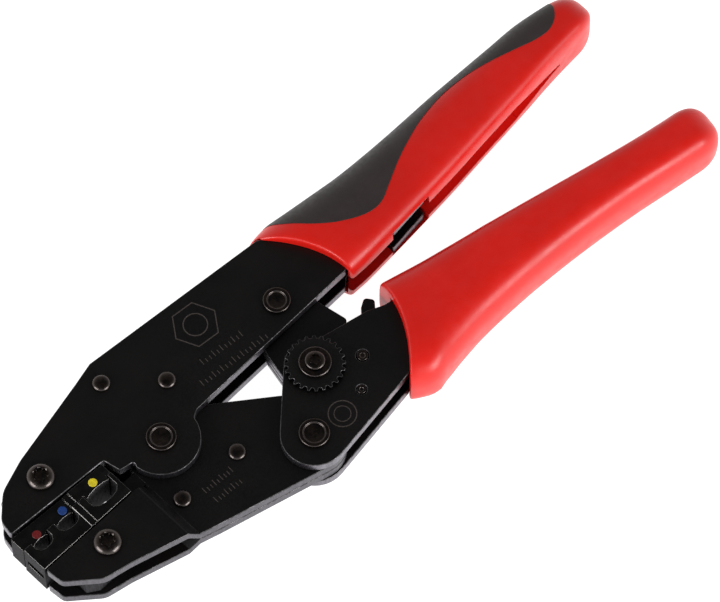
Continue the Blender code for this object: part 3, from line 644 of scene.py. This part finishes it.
def helix(start, end, radius, turns, lead, steps=20):
    """Path of a tension spring: a lead, turns about the line from start to end, and a lead."""
    start, end = Vector(start), Vector(end)
    along = (end - start).normalized()
    across = Vector((-along.y, along.x, 0))
    length = (end - start).length - 2 * lead
    path = [start, start + along * lead * 0.8]
    for i in range(steps * turns + 1):
        angle = 2 * math.pi * i / steps
        centre = start + along * (lead + length * i / (steps * turns))
        path.append(
            centre + (across * math.cos(angle) + Vector((0, 0, 1)) * math.sin(angle)) * radius
        )
    return path + [end - along * lead * 0.8, end]


def wire_piece(node, path, thickness, body):
    curve = bpy.data.curves.new(f"{node}_finished", "CURVE")
    curve.dimensions = "3D"
    curve.bevel_depth = thickness * MM
    curve.bevel_resolution = 3
    curve.use_fill_caps = True
    spline = curve.splines.new("POLY")
    spline.points.add(len(path) - 1)
    for point, position in zip(spline.points, path):
        point.co = (*place(*position), 1)
    drawn = bpy.data.objects.new(f"{node}_path", curve)
    bpy.context.scene.collection.objects.link(drawn)
    graph = bpy.context.evaluated_depsgraph_get()
    mesh = bpy.data.meshes.new_from_object(drawn.evaluated_get(graph))
    bpy.data.objects.remove(drawn)
    mesh.shade_smooth()
    made = made_object(f"{node}_finished", mesh, WIRE)
    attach(made, body)
    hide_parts(node)
    return made


def make_springs():
    rivet = FRAME_RIVETS[1]
    path = helix(
        (rivet[0] + 3.4, rivet[1] + 0.5, 0), (SPRING_LUG[0] - 3.6, SPRING_LUG[1] - 0.4, 0), 2.0, 12,
        1.5,
    )
    spring = wire_piece("return_spring", path, 0.45, "frame")
    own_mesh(spring)
    low = (SPRING_PIN[0] + 1.0, SPRING_PIN[1] + 1.6, 0)
    high = (SPRING_PIN[0] + 2.3, SPRING_PIN[1] + 3.7, 0)
    wire_piece("pawl_spring", helix(low, high, 0.9, 4, 0.2), 0.22, "moving_handle")


# ---------------------------------------------------------------- marks


def make_die_dots():
    """Enamel dots beside the three nests, in the colours of the terminals that fit them."""
    dots = [
        ("yellow", -21.1, 6.25, (0.74, 0.60, 0.02)), ("blue", -31.9, 5.75, (0.008, 0.045, 0.21))
    ]
    dots.append(("red", -41.0, 5.2, (0.15, 0.007, 0.009)))
    for name, x, face, colour in dots:
        centre = (x, 3.5)
        rings = [[(*centre, face - 0.2)], ring(centre, 1.2, face - 0.2, 40)]
        rings += [
            ring(centre, r, face + h, 40)
            for r, h in ((1.2, 0.02), (1.1, 0.08), (0.8, 0.08), (0.5, 0.04), (0.3, 0.02))
        ]
        rings.append([(*centre, face + 0.015)])
        vertices, faces = bridged(rings)
        finish = enamel_finish(f"{name}_enamel", colour)
        piece(f"die_dot_{name}", vertices, faces, finish, "frame", slot="die_steel")


def stroke(points, width, z, closed):
    """Vertices and faces of a thin raised line along points in plan."""
    thickness = 0.03
    rings = []
    count = len(points)
    for i, point in enumerate(points):
        before = points[i - 1] if closed or i else point
        after = points[(i + 1) % count] if closed or i < count - 1 else point
        along = (Vector(after) - Vector(before)).normalized()
        side = Vector((-along.y, along.x)) * width / 2
        left, right = Vector(point) + side, Vector(point) - side
        rings.append([(*left, z), (*left, z + thickness), (*right, z + thickness), (*right, z)])
    vertices, faces = bridged(rings)
    if closed:
        last = len(vertices) - 4
        faces += [(last + i, last + (i + 1) % 4, (i + 1) % 4, i) for i in range(4)]
    else:
        faces += [(3, 2, 1, 0), tuple(len(vertices) - 4 + i for i in range(4))]
    return vertices, faces


def marks(name, strokes, body):
    vertices, faces = [], []
    for points, width, closed in strokes:
        more, skin = stroke(
            points, width, OUTER_FACE if name != "jaw_marks" else INNER_FACE, closed
        )
        faces += [tuple(index + len(vertices) for index in face) for face in skin]
        vertices += more
    piece(name, vertices, faces, MARK, body, slot="black_oxide_steel")


def polygon(centre, radius, count, turn=0.0):
    angles = [turn + 2 * math.pi * i / count for i in range(count)]
    return [(centre[0] + radius * math.cos(a), centre[1] + radius * math.sin(a)) for a in angles]


def ticks(start, end, count):
    """Row of upright ticks of two heights, like a short rule, standing in for a line of marking."""
    start, end = Vector(start), Vector(end)
    upright = Vector((start.y - end.y, end.x - start.x)).normalized()
    strokes = []
    for i in range(count):
        foot = start + (end - start) * i / (count - 1)
        tall = 1.9 if i % 5 in (0, 3) else 1.2
        strokes.append(([tuple(foot), tuple(foot + upright * tall)], 0.22, False))
    return strokes


def make_marks():
    """Plain workshop marks: a hexagon round a circle, rows of ticks, and a double ring."""
    emblem = (28.8, 17.0)
    strokes = [(polygon(emblem, 6.4, 6, -0.1), 0.34, True), (polygon(emblem, 3.2, 32), 0.3, True)]
    strokes += ticks((22.4, 7.2), (35.2, 5.9), 11) + ticks((18.2, 2.9), (39.4, 0.9), 17)
    marks("frame_marks", strokes, "frame")
    marks(
        "jaw_marks", ticks((-1.6, -18.2), (7.4, -18.7), 9) + ticks((-1.3, -22.1), (6.8, -22.6), 8),
        "moving_jaw",
    )
    stamp = (37.8, -28.0)
    marks(
        "handle_marks",
        [(polygon(stamp, 3.7, 40), 0.28, True), (polygon(stamp, 2.2, 32), 0.22, True)],
        "moving_handle",
    )


# ---------------------------------------------------------------- grips


def smooth_value(knots, x):
    """Height at x of a smooth curve through knots of (x, height)."""
    if x <= knots[0][0]:
        return knots[0][1]
    for i in range(len(knots) - 1):
        (x0, y0), (x1, y1) = knots[i], knots[i + 1]
        if x > x1:
            continue
        before = knots[max(i - 1, 0)]
        after = knots[min(i + 2, len(knots) - 1)]
        slope0 = (y1 - before[1]) / (x1 - before[0])
        slope1 = (after[1] - y0) / (after[0] - x0)
        t = (x - x0) / (x1 - x0)
        start = (2 * t**3 - 3 * t**2 + 1) * y0 + (t**3 - 2 * t**2 + t) * (x1 - x0) * slope0
        return start + (3 * t**2 - 2 * t**3) * y1 + (t**3 - t**2) * (x1 - x0) * slope1
    return knots[-1][1]


FIXED_GRIP = {
    "start": 67.8,
    "end": 169.0,
    "cap": 7.5,
    "fade": 30.0,
    "lean": 0.0,
    "square": (2.7, 5.0),
    "collar": 0.0,
    "mouth": lambda y: 67.8 - 0.02 * max(y, 0) ** 2,
    "low": [
        (67.8, -1.6),
        (74, -1.6),
        (82, -1.1),
        (93, -0.3),
        (108, 0.9),
        (122, 2.4),
        (137, 3.9),
        (152, 5.6),
        (170, 6.8),
    ],
    "high": [
        (67.8, 24.9),
        (72, 25.5),
        (77, 24.6),
        (82, 23.7),
        (88, 22.7),
        (95, 22.2),
        (103, 22),
        (112, 22),
        (121, 22),
        (131, 21.7),
        (141, 21.4),
        (152, 21),
        (170, 18),
    ],
    "thick": [(67.8, 9.8), (74, 10.1), (90, 9.8), (120, 9.4), (150, 9.0), (170, 8.4)],
}

MOVING_GRIP = {
    "start": 70.6,
    "end": 168.0,
    "cap": 8.5,
    "fade": 30.0,
    "lean": 0.177,
    "square": (4.6, 3.0),
    "collar": 80.5,
    "mouth": lambda y: 70.6 - 0.0213 * (min(y, -8) + 8) ** 2,
    "low": [
        (66.5, -31),
        (70.6, -33.4),
        (74, -35.3),
        (77, -36.8),
        (80, -37.3),
        (84, -36.3),
        (90, -35.3),
        (98, -35.1),
        (108, -35.4),
        (121, -36.3),
        (138, -38.2),
        (151, -40.3),
        (170, -43.3),
    ],
    "high": [
        (70.6, -8.2),
        (75, -9.4),
        (82, -11.2),
        (93, -13.7),
        (108, -17),
        (120, -19.7),
        (138, -23.7),
        (151, -26.3),
        (170, -29.2),
    ],
    "thick": [(70.6, 10.0), (76, 10.2), (84, 9.9), (120, 9.5), (150, 9.1), (170, 8.8)],
}


def eased_step(x, low, high):
    """0 up to low, 1 from high on, and an S-curve between them."""
    t = min(max((x - low) / (high - low), 0), 1)
    return t * t * (3 - 2 * t)


def grip_point(grip, x, angle, inset=0.0):
    """Point of a grip's surface at a station x and an angle round it, from +Y over +Z to -Y."""
    if x < grip["collar"]:
        inset -= 0.7 * (
            1 - eased_step(x, grip["collar"] - 2.2, grip["collar"])
        ) * eased_step(-math.cos(angle), 0, 0.8)
    end, cap = grip["end"] - inset, grip["cap"] - inset
    low = smooth_value(grip["low"], x) + inset
    high = smooth_value(grip["high"], x) - inset
    half = smooth_value(grip["thick"], x) - inset
    beyond = (x - (end - cap)) / cap
    shrink = max(0.0, 1 - beyond**2.4) ** (1 / 2.4) if beyond > 0 else 1.0
    middle, spread = (low + high) / 2, (high - low) / 2 * shrink
    fade = max(0.0, 1 - (x - grip["start"]) / grip["fade"])
    c, s = math.cos(angle), math.sin(angle)
    power = 2 / grip["square"][0 if c > 0 else 1]
    y = middle + spread * math.copysign(abs(c) ** power, c)
    z = half * shrink * math.copysign(abs(s) ** power, s)
    shift = (grip["mouth"](y) - grip["start"]) * fade + grip["lean"] * (y - middle) * (1 - fade)
    return (x + shift, y, z)


def even_angles(grip, x, count):
    """Angles that space points evenly along half of a section."""
    fine = 240
    angles = [math.pi * (0.5 - 0.5 * math.cos(math.pi * i / fine)) for i in range(fine + 1)]
    points = [Vector(grip_point(grip, x, angle)) for angle in angles]
    lengths = [0.0]
    for a, b in zip(points, points[1:]):
        lengths.append(lengths[-1] + (b - a).length)
    chosen = []
    k = 0
    for i in range(count + 1):
        target = lengths[-1] * i / count
        while k < fine - 1 and lengths[k + 1] < target:
            k += 1
        share = (target - lengths[k]) / max(lengths[k + 1] - lengths[k], 1e-9)
        chosen.append(angles[k] + (angles[k + 1] - angles[k]) * min(share, 1.0))
    return chosen


def grip_ring(grip, x, inset=0.0, count=44):
    half = even_angles(grip, x, count)
    upper = [grip_point(grip, x, angle, inset) for angle in half]
    return upper + [(px, py, -pz) for px, py, pz in upper[-2:0:-1]]


def grip_skin(grip, offset=0.0, lip=0.8):
    """Skin of a grip, set in by an offset, with a rounded mouth rim and a rounded end."""
    start, end, cap = grip["start"], grip["end"] - offset, grip["cap"] - offset
    body_end = end - cap
    count = 60
    centre_y = (grip["low"][0][1] + grip["high"][0][1]) / 2
    rings = [[(grip["mouth"](centre_y), centre_y, 0)]]
    rings += [grip_ring(grip, start, offset + inset) for inset in (5.0, 2.4, 1.4)]
    for degrees in (90, 60, 30):
        angle = math.radians(degrees)
        rings.append(
            grip_ring(
                grip, start + lip * (1 - math.sin(angle)), offset + lip * (1 - math.cos(angle))
            )
        )
    rings += [
        grip_ring(grip, start + lip + (body_end - start - lip) * i / count, offset)
        for i in range(count + 1)
    ]
    for degrees in range(6, 90, 6):
        rings.append(grip_ring(grip, body_end + cap * math.sin(math.radians(degrees)), offset))
    tip_y = (smooth_value(grip["low"], end) + smooth_value(grip["high"], end)) / 2
    rings.append([(end, tip_y, 0)])
    return bridged(rings)


def prism(name, outline, reach):
    """Closed prism over an outline in plan, used as a cutter."""
    ordered = outline if signed_area(outline) > 0 else outline[::-1]
    count = len(ordered)
    vertices = [place(x, y, -reach) for x, y in ordered] + [place(x, y, reach) for x, y in ordered]
    faces = [tuple(range(count))[::-1], tuple(range(count, 2 * count))]
    faces += [(i, (i + 1) % count, count + (i + 1) % count, count + i) for i in range(count)]
    mesh = bpy.data.meshes.new(name)
    mesh.from_pydata(vertices, [], faces)
    made = bpy.data.objects.new(name, mesh)
    bpy.context.scene.collection.objects.link(made)
    return made


def wedge(name, near, far, low, high, near_reach, far_reach):
    """Closed block from x = near to x = far whose reach either side of the middle plane tapers."""
    vertices = []
    for x, reach in ((near, near_reach), (far, far_reach)):
        vertices += [
            place(x, low, -reach), place(x, high, -reach), place(x, high, reach),
            place(x, low, reach),
        ]
    faces = [(0, 3, 2, 1), (4, 5, 6, 7)] + [
        (i, (i + 1) % 4, 4 + (i + 1) % 4, 4 + i) for i in range(4)
    ]
    mesh = bpy.data.meshes.new(name)
    mesh.from_pydata(vertices, [], faces)
    made = bpy.data.objects.new(name, mesh)
    bpy.context.scene.collection.objects.link(made)
    shape = bmesh.new()
    shape.from_mesh(mesh)
    bmesh.ops.recalc_face_normals(shape, faces=shape.faces)
    shape.to_mesh(mesh)
    shape.free()
    return made


def signed_area(points):
    pairs = zip(points, points[1:] + points[:1])
    return sum(a[0] * b[1] - b[0] * a[1] for a, b in pairs) / 2


def carve(target, cutters, operation="DIFFERENCE"):
    """Cuts shapes out of a piece for good, and removes the cutters."""
    for cutter in cutters:
        modifier = target.modifiers.new(cutter.name, "BOOLEAN")
        modifier.operation = operation
        modifier.object = cutter
    graph = bpy.context.evaluated_depsgraph_get()
    mesh = bpy.data.meshes.new_from_object(target.evaluated_get(graph))
    target.modifiers.clear()
    target.data = mesh
    for cutter in cutters:
        bpy.data.objects.remove(cutter)
    smooth(mesh, 32)


def rounded_corner(before, corner, after, radius, steps=6):
    corner = Vector(corner)
    back = (Vector(before) - corner).normalized()
    ahead = (Vector(after) - corner).normalized()
    points = []
    for k in range(steps + 1):
        t = k / steps
        points.append(tuple(corner + back * radius * (1 - t) ** 2 + ahead * radius * t**2))
    return points


def make_fixed_grip():
    vertices, faces = grip_skin(FIXED_GRIP)
    grip = piece(
        "fixed_grip_finished", vertices, faces, RED, "frame", ["fixed_grip"], "red_plastic"
    )
    pocket = [
        (45, 25.2), (57.3, 23.7), (62.4, 20.0), (98.4, 13.4), (98.4, 4.6), (69.9, 2.0), (67.9, 0),
        (45, -0.2),
    ]
    slot = [(55, -8), (135, -8), (135, 6.4), (100.6, 3.0), (98.6, 13.0), (55, 13.5)]
    window = [(83.5, -5), (98.0, -4)] + rounded_corner((98, -4), (98, 8), (83.5, 8), 1.0)
    window += rounded_corner((98, 8), (83.5, 8), (83.5, -5), 1.0)
    cutters = [prism("pocket_cutter", pocket, OUTER_FACE + GAP), prism("slot_cutter", slot, 3.6)]
    cutters.append(wedge("slot_end_cutter", 134, 153, -8, 6.7, 3.6, 0.4))
    cutters.append(prism("window_cutter", window, OUTER_FACE + GAP - 0.1))
    carve(grip, cutters)


def make_moving_grip():
    vertices, faces = grip_skin(MOVING_GRIP)
    grip = piece(
        "moving_grip_finished", vertices, faces, RED, "moving_handle", ["moving_grip"],
        "red_plastic",
    )
    pocket = [
        (40, -8), (67.6, -13.1), (108.4, -19.6), (108.4, -27.0), (63.4, -29.4), (58.0, -32.4),
        (40, -35),
    ]
    carve(grip, [prism("moving_pocket_cutter", pocket, OUTER_FACE + GAP)])


INLAY_EDGE = [
    (59.0, 29.0),
    (63.4, 22.4),
    (66.4, 18.8),
    (69.3, 15.4),
    (72.2, 12.7),
    (75.5, 10.3),
    (79.7, 8.0),
    (83.7, 6.8),
    (87.6, 7.1),
    (92.3, 9.3),
    (98.3, 12.2),
    (104.0, 14.5),
    (111.8, 17.0),
    (121.3, 18.5),
    (130.0, 18.0),
    (137.2, 16.3),
    (144.4, 14.1),
    (150.2, 12.4),
    (154.4, 11.9),
    (157.6, 12.8),
    (160.0, 14.8),
    (161.4, 17.5),
    (162.0, 22.0),
]


def curve_through(points, steps=8):
    """Smooth curve through points in plan."""
    curve = []
    for i in range(len(points) - 1):
        before, here, there, after = (
            Vector(points[min(max(k, 0), len(points) - 1)]) for k in range(i - 1, i + 3)
        )
        for k in range(steps):
            t = k / steps
            pull = (there - before) * (t - 2 * t**2 + t**3) + (after - here) * (t**3 - t**2)
            curve.append(
                tuple(here * (1 - 3 * t**2 + 2 * t**3) + there * (3 * t**2 - 2 * t**3) + pull / 2)
            )
    return curve + [points[-1]]


def make_inlay():
    """Soft inlay wrapped over the back of the fixed grip, a little proud of the red."""
    vertices, faces = grip_skin(FIXED_GRIP, -0.12)
    name = "fixed_grip_inlay_finished"
    inlay = piece(name, vertices, faces, SOFT, "frame", ["fixed_grip_inlay"], "soft_grey_inlay")
    outline = curve_through(INLAY_EDGE) + [(162, 34), (56, 34)]
    carve(inlay, [prism("inlay_region", outline, 15)], "INTERSECT")
    core = piece("inlay_core", *grip_skin(FIXED_GRIP, 1.5), SOFT, "frame")
    carve(inlay, [core])


# ---------------------------------------------------------------- studio


def make_floor():
    size = 3.0
    mesh = bpy.data.meshes.new("floor")
    mesh.from_pydata(
        [(-size, -size, 0), (size, -size, 0), (size, size, 0), (-size, size, 0)], [], [(0, 1, 2, 3)]
    )
    floor = bpy.data.objects.new("floor", mesh)
    bpy.context.scene.collection.objects.link(floor)
    finish = Finish("pale_floor", (0.5, 0.5, 0.5), 0.7)
    finish.set("Roughness", finish.ranged(finish.noise(0.02, 2), 0.3, 0.7, 0.65, 0.75))
    finish.set("Specular IOR Level", 0.1)
    finish.set("Emission Color", (1, 1, 1, 1))
    finish.set("Emission Strength", 0.97)
    mesh.materials.append(finish.material)


def softbox(name, direction, distance, size, power):
    light = bpy.data.lights.new(name, "AREA")
    light.shape = "RECTANGLE"
    light.size = size[0]
    light.size_y = size[1]
    light.energy = power
    made = bpy.data.objects.new(name, light)
    bpy.context.scene.collection.objects.link(made)
    towards = Vector(direction).normalized()
    made.location = towards * distance
    made.rotation_euler = towards.to_track_quat("Z", "Y").to_euler()


def make_world():
    """White round the horizon and darker overhead, as in a light tent open at the top."""
    world = bpy.data.worlds.new("studio")
    bpy.context.scene.world = world
    world.use_nodes = True
    nodes, links = world.node_tree.nodes, world.node_tree.links
    coordinates = nodes.new("ShaderNodeTexCoord")
    parts = nodes.new("ShaderNodeSeparateXYZ")
    fall = nodes.new("ShaderNodeMapRange")
    fall.interpolation_type = "SMOOTHSTEP"
    for socket, value in zip(list(fall.inputs)[1:5], (0.1, 0.95, 1.0, 0.11)):
        socket.default_value = value
    links.new(coordinates.outputs["Generated"], parts.inputs[0])
    links.new(parts.outputs["Z"], fall.inputs[0])
    links.new(fall.outputs["Result"], nodes["Background"].inputs["Strength"])
    nodes["Background"].inputs["Color"].default_value = (1, 1, 1, 1)


def make_camera():
    """Camera square to the tool's diagonal, 26 degrees off straight down."""
    tilt = math.radians(26)
    side = math.sqrt(0.5)
    right = Vector((side, -side, 0))
    back = Vector((-math.sin(tilt) * side, -math.sin(tilt) * side, math.cos(tilt)))
    axes = Matrix((right, back.cross(right), back)).transposed()
    camera = bpy.data.objects.new("camera", bpy.data.cameras.new("camera"))
    bpy.context.scene.collection.objects.link(camera)
    camera.location = ORIGIN + Vector((-0.41930, -0.49148, 1.40722))
    camera.rotation_euler = axes.to_euler()
    camera.data.lens = 300
    camera.data.sensor_width = 36
    camera.data.clip_end = 20
    bpy.context.scene.camera = camera


make_camera()
make_floor()
make_world()
softbox("softbox_right", (0.15, -1.0, 0.5), 1.3, (0.8, 0.6), 11)
softbox("softbox_left", (-1.0, 0.2, 0.45), 1.3, (0.8, 0.6), 9)
bpy.context.scene.view_settings.view_transform = "Standard"

make_plates()
make_gap_shade_block()
make_fasteners()
make_springs()
make_die_dots()
make_marks()
make_fixed_grip()
make_moving_grip()
make_inlay()
